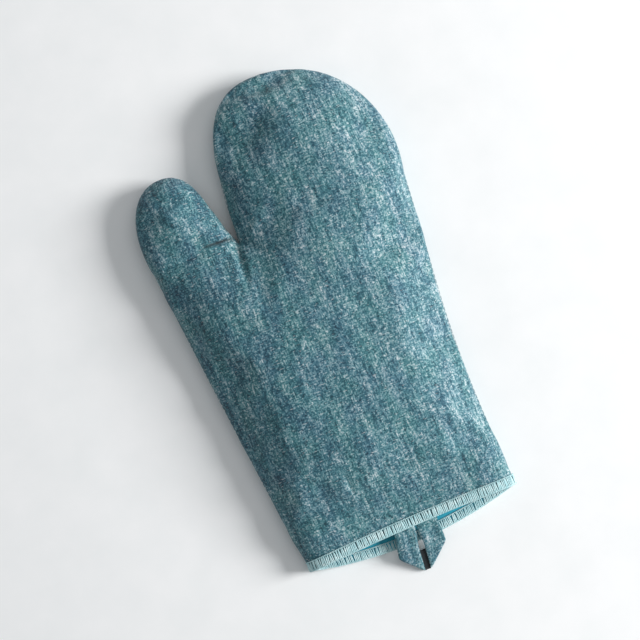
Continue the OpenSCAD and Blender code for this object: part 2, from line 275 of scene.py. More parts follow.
def strip_plan(face, strip):
    """Plan and height above the lip of a strip's rows, from the lip to the fingertip."""
    cos = (1 - np.cos(np.linspace(0, math.pi, COLUMNS[strip] + 1))) / 2
    f = mix(cos, np.linspace(0, 1, COLUMNS[strip] + 1), 0.35)
    h = np.linspace(0, CROTCH_HEIGHT, ARM_ROWS + 1)[:, None] + 0 * f
    sides = (left_side, split_line) if strip == THUMB else (split_line, right_side)
    x = mix(sides[0](h), sides[1](h), f)
    at_cuff = mix(sides[0](0), sides[1](0), f)
    y = h + (1 - np.clip(h / BOW_FADE, 0, 1)) ** 2 * lip_curve(face, at_cuff)
    # Rows lie closer by the crotch, where the cloth creases.
    share = np.linspace(0, 1, FINGER_ROWS + 1)[1:]
    t = share ** 1.6 * (1 - share) + share ** 2
    left, right = finger_edges(strip, t)
    finger = mix(left[:, None], right[:, None], f[None, :, None])
    plan = np.concatenate([np.stack([x, y], -1), finger])
    return plan, np.concatenate([h, finger[..., 1]])


# ---- Meshes ----

def to_frame(points):
    return (np.asarray(points, float) + SHIFT) * MM


def new_mesh(name, verts, faces, material, sharp_degrees=50):
    """A mesh object from points already in metres, smooth but for its sharp edges."""
    mesh = bpy.data.meshes.new(name)
    mesh.from_pydata([tuple(v) for v in verts], [], [tuple(int(i) for i in f) for f in faces])
    mesh.validate()
    mesh.update()
    mesh.shade_smooth()
    mesh.set_sharp_from_angle(angle=math.radians(sharp_degrees))
    made = bpy.data.objects.new(name, mesh)
    bpy.context.scene.collection.objects.link(made)
    if material:
        mesh.materials.append(material)
    return made


def give_cloth_and_shade(piece, places, painted_shade=None):
    """Gives each point its place on the flat cut, in millimetres, which the weave follows.

    Folds, the painted shade, say how dark each point is painted, from 0 to 1, for the shadow deep in a
    sharp fold or behind the loop's eye.
    """
    if painted_shade is not None:
        depth = piece.data.attributes.new("fold", "FLOAT", "POINT")
        depth.data.foreach_set("value", np.asarray(painted_shade, np.float32))
    layer = piece.data.attributes.new("cloth", "FLOAT_VECTOR", "POINT")
    flat = np.zeros((len(piece.data.vertices), 3), np.float32)
    flat[:, :2] = places
    layer.data.foreach_set("vector", flat.ravel())


def coordinates(mesh):
    co = np.empty(len(mesh.vertices) * 3)
    mesh.vertices.foreach_get("co", co)
    return co.reshape(-1, 3)


def outer_cloth():
    """Both outer panels as one open bag, joined along the seam.

    Gives its points in millimetres, its faces, the panel that each face is on, and each
    point's height above the lip.
    """
    grids = []
    for face in (FRONT, BACK):
        for strip in (THUMB, HAND):
            plan, h = strip_plan(face, strip)
            grids.append((face, surface(face, plan, h), h))
    points = np.concatenate([g.reshape(-1, 3) for _, g, _ in grids])
    heights = np.concatenate([h.ravel() for _, _, h in grids])
    near = KDTree(len(points))
    for i, p in enumerate(points):
        near.insert(p, i)
    near.balance()
    first = np.array([min(k for _, k, _ in near.find_range(p, JOIN_WITHIN)) for p in points])
    faces, sides, known, start = [], [], set(), 0
    for face, grid, h in grids:
        rows, cols = h.shape
        index = first[start:start + rows * cols].reshape(rows, cols)
        start += rows * cols
        for i in range(rows - 1):
            for j in range(cols - 1):
                corners = [index[i, j], index[i, j + 1], index[i + 1, j + 1], index[i + 1, j]]
                ring = list(dict.fromkeys(int(k) for k in (corners if face == FRONT else corners[::-1])))
                if len(ring) > 2 and frozenset(ring) not in known:
                    known.add(frozenset(ring))
                    faces.append(ring)
                    sides.append(face)
    used = np.unique([k for ring in faces for k in ring])
    number = {int(k): n for n, k in enumerate(used)}
    faces = [[number[k] for k in ring] for ring in faces]
    return points[used], faces, np.array(sides), heights[used]


PUFF_CAP = 4.5
PUFF_FRAMES = 20


def puffed(points, faces, sides, heights):
    """The bag blown up a little by cloth simulation, so that it swells as padding makes it.

    It is held at its seam and its cuff.
    """
    bag = new_mesh("bag_in_the_making", points * MM, faces, None)
    seam = reach_in(points[:, :2])[0] < 0.5
    hold = bag.vertex_groups.new(name="hold")
    for i in range(len(points)):
        cuff = 1 - smooth((heights[i] - 16) / 24)
        grip = max(cuff, 1.0 if seam[i] else 0.0)
        if grip > 0:
            hold.add([i], float(grip), "REPLACE")
    cloth = bag.modifiers.new("cloth", "CLOTH")
    cloth.settings.quality = 5
    cloth.settings.mass = 0.25
    cloth.settings.tension_stiffness = 20
    cloth.settings.compression_stiffness = 20
    cloth.settings.shear_stiffness = 8
    cloth.settings.bending_stiffness = 0.6
    cloth.settings.use_pressure = True
    cloth.settings.uniform_pressure_force = 1.6
    cloth.settings.shrink_min = -0.018
    cloth.settings.vertex_group_mass = "hold"
    cloth.settings.effector_weights.gravity = 0
    cloth.collision_settings.use_collision = False
    scene = bpy.context.scene
    for step in range(1, PUFF_FRAMES + 1):
        scene.frame_set(step)
    blown = bag.evaluated_get(bpy.context.evaluated_depsgraph_get()).to_mesh()
    moved = coordinates(blown) / MM - points
    scene.frame_set(1)
    bpy.data.objects.remove(bag)
    length = np.linalg.norm(moved, axis=1, keepdims=True)
    return points + moved * np.minimum(1, PUFF_CAP / np.maximum(length, 1e-6))


def crease(points, a, b, width, deep):
    """Depth of a furrow from a to b, with the cloth pushed up on both sides of it."""
    a, b = np.array(a, float), np.array(b, float)
    along = b - a
    t = np.clip(((points[:, :2] - a) @ along) / (along @ along), 0, 1)
    gap = np.linalg.norm(points[:, :2] - a - t[:, None] * along, axis=1) / width
    ends = np.sin(math.pi * np.clip(0.12 + 0.82 * (1 - t), 0, 1)) ** 0.7
    return -deep * ends * np.exp(-gap ** 2) * (1 - 0.55 * gap ** 2)


# Creases that fan out from the crotch: start and end from it, width and depth.
CREASES = [((-1, 3), (-24, 4.5), 1.8, 2.6), ((-1, -1), (-5, -30), 3.4, 2.2),
           ((2, 1), (15, 9), 2.8, 1.3), ((3, -4), (16, -17), 3.0, 1.1),
           ((-6, -6), (-20, -16), 2.8, 0.9)]


def fold_shade(face, points):
    """How far the sharp crease at the crotch shuts on itself, from 0 to 1, which is how dark the shadow in
    it is painted.
    """
    if face == BACK:
        return np.zeros(len(points))
    x, y = CROTCH
    shut = -crease(points, (x - 1, y + 3), (x - 24, y + 4.5), 1.1, 1.0)
    shut -= crease(points, (x - 1, y - 1), (x - 4, y - 16), 1.8, 0.5)
    return np.clip(shut, 0, 1)


def wave_field(points, pitch, turn, phase):
    """A slow wave of the cloth, one crest to a pitch, running at a turn in degrees."""
    a = math.radians(turn)
    s = points[:, 0] * math.cos(a) + points[:, 1] * math.sin(a)
    c = points[:, 1] * math.cos(a) - points[:, 0] * math.sin(a)
    return np.sin(2 * math.pi * s / pitch + phase + 1.3 * np.sin(2 * math.pi * c / (1.7 * pitch)))


def handled(points, even):
    """Creases at the crotch and the slow unevenness of cloth over batting."""
    heights = even[:, 1]
    up = smooth((even[:, 2] - rise(BACK, heights)) / 5)
    loose = smooth((heights - 14) / 40) * up
    lift = 0.28 * wave_field(points, 46, 24, 0.4) + 0.2 * wave_field(points, 71, 101, 2.0)
    lift += 0.16 * wave_field(points, 29, 63, 4.1)
    x, y = CROTCH
    for start, end, width, deep in CREASES:
        lift += crease(points, (x + start[0], y + start[1]), (x + end[0], y + end[1]), width, deep)
    made = points.copy()
    made[:, 2] += lift * loose
    # The mitt's own weight flattens what rests on the ground.
    made[:, 2] = np.maximum(made[:, 2], 0)
    return made


def subdivided(points, faces, sides):
    """One subdivision of the bag.

    Gives its points, its faces, the panel of each face, and where each point lies on the
    flat cut.
    """
    rough = new_mesh("bag_to_smooth", points, faces, None)
    give_cloth_and_shade(rough, cloth_place(points[:, :2]))
    rough.data.attributes.new("side", "INT", "FACE").data.foreach_set("value", sides.astype(np.int32))
    rough.modifiers.new("fine", "SUBSURF").levels = 1
    fine = rough.evaluated_get(bpy.context.evaluated_depsgraph_get()).to_mesh()
    made = coordinates(fine)
    made[:, 2] = np.maximum(made[:, 2], 0)
    rings = [tuple(p.vertices) for p in fine.polygons]
    side = np.empty(len(rings), np.int32)
    fine.attributes["side"].data.foreach_get("value", side)
    place = np.empty(len(made) * 3, np.float32)
    fine.attributes["cloth"].data.foreach_get("vector", place)
    bpy.data.objects.remove(rough)
    return made, rings, side, place.reshape(-1, 3)[:, :2]


def panel_layer(name, bag, face, depths, material, groove=0.0):
    """One layer of a panel as a closed solid between two depths below the bag."""
    points, rings, side, even, places = bag
    mine = [r for r, s in zip(rings, side) if s == face]
    used = np.unique(np.concatenate([np.array(r) for r in mine]))
    number = {int(v): k for k, v in enumerate(used)}
    p, n = points[used].copy(), outward(face, even[used, :2])
    edges = {}
    for ring in mine:
        for a, b in zip(ring, ring[1:] + ring[:1]):
            edges[(a, b)] = True
    rim = [(number[a], number[b]) for a, b in edges if (b, a) not in edges]
    h = height_above_lip(face, even[used, :2])
    seam_rim = np.zeros(len(used), bool)
    seam_rim[[a for a, b in rim if h[a] > 3 or h[b] > 3]] = True
    up = 1 if face == FRONT else -1
    p[seam_rim] -= n[seam_rim] * groove
    p[seam_rim, 2] += up * 0.12
    d0, d1 = depths(h)
    outer, inner = p - n * d0[:, None], p - n * d1[:, None]
    if face == BACK:
        outer[:, 2] = np.maximum(outer[:, 2], tuck(h) * 0.2)
    count = len(used)
    faces = [[number[int(v)] for v in r] for r in mine]
    faces += [[number[int(v)] + count for v in r[::-1]] for r in mine]
    faces += [[b, a, a + count, b + count] for a, b in rim]
    piece = new_mesh(name, to_frame(np.concatenate([outer, inner])), faces, material)
    give_cloth_and_shade(piece, np.tile(places[used], (2, 1)), np.tile(fold_shade(face, even[used]), 2))
    return piece


def shell_depths(h):
    return tuck(h), tuck(h) + SHELL_T


def batting_depths(h):
    start = shell_depths(h)[1] + LAYER_GAP
    return start, start + batting_at(h)


def lining_depths(h):
    start = batting_depths(h)[1] + LAYER_GAP
    return start, start + LINING_T


class Threads:
    """Many lengths of thread gathered into one mesh."""

    def __init__(self):
        self.verts, self.faces = [], []

    def lay(self, path, radius, flat=1.0, sides=6, lean=None):
        """One length of thread along a path, round or flattened against what it lies on."""
        path = np.asarray(path, float)
        ahead = np.gradient(path, axis=0)
        ahead /= np.linalg.norm(ahead, axis=1, keepdims=True)
        up = np.tile([0.0, 0, 1.0], (len(path), 1)) if lean is None else np.asarray(lean, float)
        side = np.cross(ahead, up)
        side /= np.maximum(np.linalg.norm(side, axis=1, keepdims=True), 1e-9)
        up = np.cross(side, ahead)
        turn = np.arange(sides) * 2 * math.pi / sides
        taper = np.ones(len(path))
        taper[[0, -1]] = 0.55
        ring = (side[:, None] * np.cos(turn)[None, :, None]
                + up[:, None] * np.sin(turn)[None, :, None] * flat) * radius
        ring = path[:, None] + ring * taper[:, None, None]
        base = len(self.verts)
        self.verts += list(ring.reshape(-1, 3))
        for i in range(len(path) - 1):
            for k in range(sides):
                a, b = base + i * sides + k, base + i * sides + (k + 1) % sides
                self.faces.append([a, b, b + sides, a + sides])
        self.faces.append([base + k for k in range(sides)][::-1])
        last = base + (len(path) - 1) * sides
        self.faces.append([last + k for k in range(sides)])

    def piece(self, name, material):
        made = new_mesh(name, to_frame(self.verts), self.faces, material, sharp_degrees=75)
        give_cloth_and_shade(made, np.asarray(self.verts)[:, :2])
        return made


# ---- Materials ----

def linear(code):
    """An sRGB hex colour as linear red, green, blue and alpha."""
    parts = [int(code[k:k + 2], 16) / 255 for k in (1, 3, 5)]
    return tuple(c / 12.92 if c <= 0.04045 else ((c + 0.055) / 1.055) ** 2.4 for c in parts) + (1.0,)


def node(tree, kind, inputs=None, **settings):
    """Adds a shader node with its settings, and its inputs as values or links."""
    made = tree.nodes.new("ShaderNode" + kind)
    for name, value in settings.items():
        setattr(made, name, value)
    for socket, value in (inputs or {}).items():
        if isinstance(value, bpy.types.NodeSocket):
            tree.links.new(value, made.inputs[socket])
        else:
            made.inputs[socket].default_value = value
    return made


def new_material(name):
    material = bpy.data.materials.new(name)
    material.use_nodes = True
    material.node_tree.nodes.clear()
    return material, material.node_tree


def finish_material(tree, surface_inputs):
    shader = node(tree, "BsdfPrincipled", surface_inputs)
    node(tree, "OutputMaterial", {"Surface": shader.outputs["BSDF"]})


def ramp(tree, value, stops):
    made = node(tree, "ValToRGB", {"Fac": value})
    bar = made.color_ramp
    while len(bar.elements) > 1:
        bar.elements.remove(bar.elements[-1])
    bar.elements[0].position = stops[0][0]
    bar.elements[0].color = linear(stops[0][1])
    for place, code in stops[1:]:
        bar.elements.new(place).color = linear(code)
    return made.outputs["Color"]


def streaks(tree, place, across, along, detail=2.0, rough=0.6, shift=0.0, yarn=None):
    """Noise drawn out so that a mark is across mm wide and along mm long.

    With a yarn of X or Y, the noise steps from one yarn to the next along that axis.
    """
    sized = node(tree, "VectorMath", {0: place, 1: (1 / across, 1 / along, 1)}, operation="MULTIPLY")
    if yarn:
        steps = (1, 0.01, 1) if yarn == "X" else (0.01, 1, 1)
        sized = node(tree, "VectorMath", {0: sized.outputs[0], 1: steps}, operation="SNAP")
    moved = node(tree, "VectorMath", {0: sized.outputs[0], 1: (shift, shift * 0.7, shift)}, operation="ADD")
    # A stepped noise is scaled so that no yarn falls where the noise is always a half.
    noise = node(tree, "TexNoise", {
        "Vector": moved.outputs[0], "Scale": 1.37 if yarn else 1.0, "Detail": detail,
        "Roughness": rough})
    return noise.outputs["Fac"]


def weighed(tree, parts):
    """Sum of values, each less a half and times its weight, about a half."""
    total = 0.5
    for value, weight in parts:
        total = node(tree, "Math", {0: value, 1: weight, 2: total}, operation="MULTIPLY_ADD").outputs[0]
        total = node(tree, "Math", {0: total, 1: weight / 2}, operation="SUBTRACT").outputs[0]
    return total


def weave_height(tree, place, pitch):
    """A plain weave's height: each thread of one way stands up between two of the other."""
    parts = node(tree, "SeparateXYZ", {0: place})
    waves = []
    for axis in ("X", "Y"):
        turn = node(tree, "Math", {0: parts.outputs[axis], 1: 2 * math.pi / pitch}, operation="MULTIPLY")
        waves.append(node(tree, "Math", {0: turn.outputs[0]}, operation="SINE").outputs[0])
    return node(tree, "Math", {0: waves[0], 1: waves[1]}, operation="MULTIPLY").outputs[0]


# Linen chambray, woven with dyed teal one way and undyed flax the other. Its yarns are
# uneven, which gives the eye short slubs and streaks both ways, a grainy heather, and
# patches where one yarn shows more. Yarns are drawn 1.1 mm apart, coarser than the
# real 0.5 mm, which is too fine to show.
YARN_PITCH = 1.1


def chambray_material():
    material, tree = new_material("linen_chambray_woven")
    place = node(tree, "Attribute", attribute_name="cloth").outputs["Vector"]
    warp = streaks(tree, place, 0.8, 9, detail=2, rough=0.7, shift=0.31, yarn="X")
    weft = streaks(tree, place, 9, 0.8, detail=2, rough=0.7, shift=7.3, yarn="Y")
    short_warp = streaks(tree, place, 0.7, 2.6, detail=1, rough=0.7, shift=11.9, yarn="X")
    short_weft = streaks(tree, place, 2.6, 0.7, detail=1, rough=0.7, shift=3.1, yarn="Y")
    patches = streaks(tree, place, 7, 18, detail=2, rough=0.6, shift=21.0)
    bands = streaks(tree, place, 3, 50, detail=1, shift=5.7)
    # The tone rises a little towards the little finger's side. This is not in the cloth: it
    # strengthens the way that the light falls across the mitt.
    sides = node(tree, "SeparateXYZ", {0: place})
    painted_light_across = node(tree, "MapRange", {"Value": sides.outputs["X"], "From Min": -95.0, "From Max": 90.0,
                                         "To Min": 0.41, "To Max": 0.59}).outputs[0]
    tone = weighed(tree, [(warp, 0.68), (weft, 0.55), (short_warp, 0.72), (short_weft, 0.72),
                          (patches, 0.4), (bands, 0.4), (painted_light_across, 0.5)])
    colour = ramp(tree, tone, [
        (0.14, "#063644"), (0.34, "#185362"), (0.5, "#3A7480"), (0.66, "#739AA2"), (0.88, "#C3CFD3")])
    # Dye takes unevenly, so parts lean to blue and parts to green.
    hue = streaks(tree, place, 14, 26, detail=1.5, shift=31.0)
    lean = node(tree, "MapRange", {"Value": hue, "From Min": 0.36, "From Max": 0.64,
                                   "To Min": 0.488, "To Max": 0.514})
    tinted = node(tree, "HueSaturation", {"Color": colour, "Hue": lean.outputs[0]})
    # Thick pale slubs of undyed yarn run across, and dark ones of dyed yarn run along.
    slub = streaks(tree, place, 4.2, 0.9, detail=1, shift=43.0)
    pale = node(tree, "MapRange", {"Value": slub, "From Min": 0.64, "From Max": 0.74, "To Max": 0.6})
    speck = streaks(tree, place, 0.9, 4.2, detail=1, shift=57.0)
    dark = node(tree, "MapRange", {"Value": speck, "From Min": 0.655, "From Max": 0.75, "To Max": 0.85})
    with_slubs = node(tree, "Mix", data_type="RGBA")
    link_mix(tree, with_slubs, pale.outputs[0], tinted.outputs[0], linear("#D2D8DA"))
    with_specks = node(tree, "Mix", data_type="RGBA")
    link_mix(tree, with_specks, dark.outputs[0], with_slubs.outputs[2], linear("#0C3542"))
    # Cloth in a fold that has shut on itself, and the tape's stretch behind the loop's eye, is darkened:
    # painted shade for the deep shadow there.
    fold = node(tree, "Attribute", attribute_name="fold")
    with_painted_shade = node(tree, "Mix", data_type="RGBA")
    link_mix(tree, with_painted_shade, fold.outputs["Fac"], with_specks.outputs[2], linear("#04141A"))
    height = weighed(tree, [(weave_height(tree, place, YARN_PITCH), 0.4),
                            (short_warp, 0.8), (short_weft, 0.8), (slub, 0.5)])
    bump = node(tree, "Bump", {"Height": height, "Strength": 0.55, "Distance": 0.0004})
    rough = node(tree, "MapRange", {"Value": tone, "To Min": 0.85, "To Max": 0.62})
    finish_material(tree, {
        "Base Color": with_painted_shade.outputs[2], "Roughness": rough.outputs[0],
        "Normal": bump.outputs[0], "IOR": 1.53, "Sheen Weight": 0.2, "Sheen Roughness": 0.5})
    return material


def link_mix(tree, mixer, factor, a, b):
    """Sets a colour mix, whose sockets of each kind share their names."""
    for socket, value in ((mixer.inputs[0], factor), (mixer.inputs[6], a), (mixer.inputs[7], b)):
        if isinstance(value, bpy.types.NodeSocket):
            tree.links.new(value, socket)
        else:
            socket.default_value = value


def lining_material():
    # Piece-dyed cotton poplin, woven fine and pressed: an even deep teal with a faint
    # grain and the slight unevenness of its dye.
    material, tree = new_material("cotton_poplin_woven")
    place = node(tree, "Attribute", attribute_name="cloth").outputs["Vector"]
    grain = streaks(tree, place, 0.7, 0.7, detail=2)
    slow = streaks(tree, place, 14, 14, shift=3.0)
    tone = weighed(tree, [(grain, 0.35), (slow, 0.4)])
    colour = ramp(tree, tone, [(0.25, "#1C93AE"), (0.5, "#2BA6BE"), (0.75, "#48B6C9")])
    weave = weave_height(tree, place, 0.8)
    bump = node(tree, "Bump", {"Height": weave, "Strength": 0.3, "Distance": 0.0002})
    finish_material(tree, {"Base Color": colour, "Roughness": 0.8, "Normal": bump.outputs[0],
                           "Sheen Weight": 0.15})
    return material


def thread_material(name, codes, ply):
    # Spun polyester thread: its plies twist round each other, which gives slanting
    # ridges. Their tops are painted paler, a painted gleam, as one noise sets both the colour and the bump;
    # the slow change of tone is the thread's own.
    material, tree = new_material(name)
    place = node(tree, "TexCoord").outputs["Object"]
    sized = node(tree, "VectorMath", {0: place, "Scale": 1 / MM}, operation="SCALE")
    twist = streaks(tree, sized.outputs[0], ply, ply, detail=2, rough=0.7)
    slow = streaks(tree, sized.outputs[0], 9, 4, shift=9.0)
    tone = weighed(tree, [(twist, 1.0), (slow, 0.8)])
    colour = ramp(tree, tone, [(0.2, codes[0]), (0.5, codes[1]), (0.8, codes[2])])
    bump = node(tree, "Bump", {"Height": twist, "Strength": 0.5, "Distance": 0.0002})
    finish_material(tree, {"Base Color": colour, "Roughness": 0.55, "Normal": bump.outputs[0],
                           "Sheen Weight": 0.2})
    return material


def batting_material():
    # Needled cotton batting: undyed fibres matted together, matt and faintly clumped.
    material, tree = new_material("cotton_batting_needled")
    place = node(tree, "Attribute", attribute_name="cloth").outputs["Vector"]
    clumps = streaks(tree, place, 9, 9)
    fibres = streaks(tree, place, 1.5, 1.5, detail=5)
    tone = weighed(tree, [(fibres, 0.8), (clumps, 0.4)])
    colour = ramp(tree, tone, [(0.2, "#D8D1C0"), (0.5, "#ECE7DA"), (0.8, "#F7F4EC")])
    bump = node(tree, "Bump", {"Height": tone, "Strength": 0.7, "Distance": 0.0006})
    finish_material(tree, {"Base Color": colour, "Roughness": 0.95, "Normal": bump.outputs[0]})
    return material


CHAMBRAY = chambray_material()
POPLIN = lining_material()
BATTING = batting_material()
OVERLOCK = thread_material("polyester_overlock_spun", ("#86BCC3", "#B2D8DC", "#DEF0F0"), 0.5)
SEAM_THREAD = thread_material("polyester_thread_spun", ("#2F6671", "#4A8490", "#6FA1AA"), 0.4)

# ---- Camera, light and ground ----

# The picture's upright is turned this far round from the mitt's own length.
PICTURE_TURN = math.radians(23.2)
PICTURE_WIDTH = 442 * MM
LENS = 85.0
SENSOR = 36.0
CAMERA_TILT = math.radians(3.0)


def set_camera():
    middle = Vector(to_frame([-3.0, 156.0, 10.0]))
    distance = PICTURE_WIDTH * LENS / SENSOR
    data = bpy.data.cameras.new("camera")
    data.lens = LENS
    data.sensor_width = SENSOR
    data.clip_start = 0.01
    camera = bpy.data.objects.new("camera", data)
    turn = Matrix.Rotation(-PICTURE_TURN, 4, "Z") @ Matrix.Rotation(CAMERA_TILT, 4, "X")
    camera.matrix_world = Matrix.Translation(middle) @ turn @ Matrix.Translation((0, 0, distance))
    bpy.context.scene.collection.objects.link(camera)
    bpy.context.scene.camera = camera


def area_light(name, place, size, power, colour=(1, 1, 1)):
    data = bpy.data.lights.new(name, "AREA")
    data.shape = "SQUARE"
    data.size = size
    data.energy = power
    data.color = colour
    lamp = bpy.data.objects.new(name, data)
    lamp.location = place
    lamp.rotation_euler = (-Vector(place)).to_track_quat("-Z", "Y").to_euler()
    bpy.context.scene.collection.objects.link(lamp)


def set_stage():
    bpy.context.scene.view_settings.view_transform = "Standard"
    material, tree = new_material("paper_sweep")
    paper = node(tree, "TexNoise", {"Scale": 180.0, "Detail": 4.0})
    shade = ramp(tree, paper.outputs["Fac"], [(0.3, "#F3F4F4"), (0.7, "#F8F8F8")])
    finish_material(tree, {"Base Color": shade, "Roughness": 0.9})
    half = 3.0
    corners = [(-half, -half, 0), (half, -half, 0), (half, half, 0), (-half, half, 0)]
    ground = new_mesh("paper_ground", corners, [(0, 1, 2, 3)], material)
    ground.location.z = -0.0002
    world = bpy.data.worlds.new("studio")
    world.use_nodes = True
    sky = world.node_tree.nodes["Background"]
    sky.inputs["Color"].default_value = (0.93, 0.97, 1.0, 1)
    sky.inputs["Strength"].default_value = 0.34
    bpy.context.scene.world = world
    right = Vector((math.cos(PICTURE_TURN), -math.sin(PICTURE_TURN), 0))
    back = Vector((math.sin(PICTURE_TURN), math.cos(PICTURE_TURN), 0))
    area_light("key", right * 2.4 + back * 0.4 + Vector((0, 0, 1.2)), 1.1, 98.0)
    area_light("top", right * 0.25 + back * 0.4 + Vector((0, 0, 1.3)), 1.0, 2.0)


set_camera()
set_stage()

# ---- The panels ----

raw_points, raw_faces, raw_sides, raw_heights = outer_cloth()
shaped = puffed(raw_points, raw_faces, raw_sides, raw_heights)
even, _, _, places = subdivided(raw_points, raw_faces, raw_sides)
fine, fine_faces, fine_sides, _ = subdivided(shaped, raw_faces, raw_sides)
bag = (handled(fine, even), fine_faces, fine_sides, even, places)
SEAM_GROOVE = 0.35
for face, side_name in ((FRONT, "front"), (BACK, "back")):
    outer = panel_layer("shell_" + side_name + "_cloth", bag, face, shell_depths, CHAMBRAY, SEAM_GROOVE)
    padding = panel_layer("batting_" + side_name + "_pad", bag, face, batting_depths, BATTING)
    inner = panel_layer("lining_" + side_name + "_cloth", bag, face, lining_depths, POPLIN)
    for piece, cad, slot in ((outer, "shell_", "linen_chambray"), (padding, "batting_", "batting"),
                             (inner, "lining_", "lining_cotton")):
        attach(piece, "mitt")
        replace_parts(piece, cad + side_name)

# ---- Overlocked lips ----

STITCH_PITCH = 1.18
OVERLOCK_RADIUS = 0.5
# The back lip's stitches are this much shorter, so that more of the lining shows.
BACK_BAND_LESS = 1.2


def lip_frame(face):
    """Even steps along a lip: its share across the cuff and its length so far."""
    x = np.linspace(-CUFF_WIDTH / 2, CUFF_WIDTH / 2, 600)
    plan = np.stack([x, lip_curve(face, x)], -1)
    p = surface(face, plan, np.zeros(600))
    run = np.concatenate([[0], np.cumsum(np.linalg.norm(np.diff(p, axis=0), axis=1))])
    return x, run


def lip_points(face, x, h, depth):
    x, h, depth = (np.asarray(v, float) for v in np.broadcast_arrays(x, h, depth))
    side = np.clip(x, left_side(h) + 0.01, right_side(h) - 0.01)
    fade = (1 - np.clip(h / BOW_FADE, 0, 1)) ** 2
    return surface(face, np.stack([side, h + fade * lip_curve(face, side)], -1), np.maximum(h, 0), depth)


def overlock(face, name):
    """Overlock stitches, which wrap a lip's raw edges.

    Close threads run down one face, round the edge and up the other. A looper line runs
    along the edge on each side, and a needle line along the threads' ends.
    """
    threads = Threads()
    band = BAND_W - BACK_BAND_LESS if face == BACK else BAND_W
    x_marks, run = lip_frame(face)
    total = run[-1]
    lip_t = float(panel_depth(np.array(0.0)))
    count = int((total - 5) / STITCH_PITCH)
    starts = 2.5 + STITCH_PITCH * np.arange(count) + dice.uniform(-0.22, 0.22, count)
    for s in starts:
        lean = dice.uniform(-0.5, 0.9)
        reach = band + dice.uniform(-0.6, 0.3)
        h = np.array([reach, reach * 0.75, reach * 0.5, reach * 0.22, 0.25, -0.05, -0.05, 0.25,
                      reach * 0.22, reach * 0.5, reach * 0.75, reach])
        out, deep = 0.25, lip_t - 0.25
        depth = np.array([0.45, 0.2, 0.15, 0.15, out, 0.9, lip_t - 0.9, deep,
                          lip_t - 0.15, lip_t - 0.15, lip_t - 0.2, lip_t - 0.45])
        slant = lean * h / band
        x = np.interp(s + slant, run, x_marks)
        path = lip_points(face, x, h, depth)
        path[:, 1] += np.where(h < 0.3, -0.12, 0)
        above = lip_points(face, x, h, depth - 1) - path
        above[5:7] = [0, -1, 0.05]
        threads.lay(path, OVERLOCK_RADIUS * dice.uniform(0.8, 1.15), flat=0.62, lean=above)
    for h, depth, radius, swing in ((-0.1, 0.55, 0.5, 0.25), (-0.1, lip_t - 0.55, 0.45, 0.25),
                                    (band - 0.1, 0.05, 0.34, 0.32), (band - 0.1, lip_t - 0.05, 0.3, 0.32)):
        s = np.arange(2.0, total - 2.0, STITCH_PITCH / 4)
        wiggle = np.sin(2 * math.pi * s / STITCH_PITCH)
        bob = 0.12 * np.cos(2 * math.pi * s / STITCH_PITCH)
        path = lip_points(face, np.interp(s, run, x_marks), h + swing * wiggle, depth - bob)
        threads.lay(path, radius, flat=0.8, sides=5)
    made = threads.piece(name, OVERLOCK)
    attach(made, "mitt")
    return made


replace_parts(overlock(FRONT, "overlock_front_threads"), "overlock_front")
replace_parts(overlock(BACK, "overlock_back_threads"), "overlock_back")

# ---- Seam stitches ----


def seam_stitches(name, depths, cad):
    threads = Threads()
    inner = OUTLINE[(OUTLINE[:, 1] > BAND_W + 4)]
    d0, d1 = depths(inner[:, 1])
    _, away = reach_in(inner)
    line = inner + away * ((d0 + d1) / 2 + 0.7)[:, None]
    run = np.concatenate([[0], np.cumsum(np.linalg.norm(np.diff(line, axis=0), axis=1))])
    for s in np.arange(1.0, run[-1] - 4, 4.0):
        t = s + np.linspace(0, 3.2, 5)
        x, y = np.interp(t, run, line[:, 0]), np.interp(t, run, line[:, 1])
        z = rise(BACK, y) + 0.12 * np.sin(np.linspace(0, math.pi, 5))
        threads.lay(np.stack([x, y, z], -1), 0.2, sides=5)
    made = threads.piece(name, SEAM_THREAD)
    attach(made, "mitt")
    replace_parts(made, cad)


seam_stitches("shell_seam_thread", shell_depths, "shell_seam_stitches")
seam_stitches("lining_seam_thread", lining_depths, "lining_seam_stitches")

# ---- Hanging loop ----

TAPE_W = 15.2
TAPE_T = 1.5
FOLD_R = 0.82
LOOP_X = 1.5
EYE_W = 4.2
LEG = 17.0
TAIL = 15.0
TIP_LEAN = -3.5
HINGE = np.array(frame["record"]["behaviour"]["joints"][0]["pos_m"]) / MM - SHIFT
TIP_LIFT = 0.1
LOOP_REACH = LEG + TAPE_W + EYE_W / 2
DROOP = math.asin((HINGE[2] - TIP_LIFT - FOLD_R * 2 - TAPE_T / 2) / LOOP_REACH)


def folded(p, up, corner, square, towards):
    """Folds the part of a flat tape beyond a line back over itself, up or down."""
    p, up = p.copy(), up.copy()
    w = (p[:, :2] - corner) @ square
    past = w > 0
    bend = math.pi * FOLD_R
    angle = np.clip(w, 0, bend) / FOLD_R
    flat_part = np.maximum(w - bend, 0)
    new_w = FOLD_R * np.sin(angle) + np.cos(angle) * flat_part
    lift = FOLD_R * (1 - np.cos(angle)) + np.sin(angle) * flat_part
    shift = np.where(past, new_w - w, 0)
    p[:, :2] += shift[:, None] * square
    p[:, 2] += np.where(past, lift * towards, 0)
    turned = up.copy()
    sideways = -np.sin(angle) * towards
    turned[:, :2] = up[:, :2] + (sideways * up[:, 2])[:, None] * square
    turned[:, 2] = up[:, 2] * np.cos(angle)
    up[past] = turned[past]
    return p, up


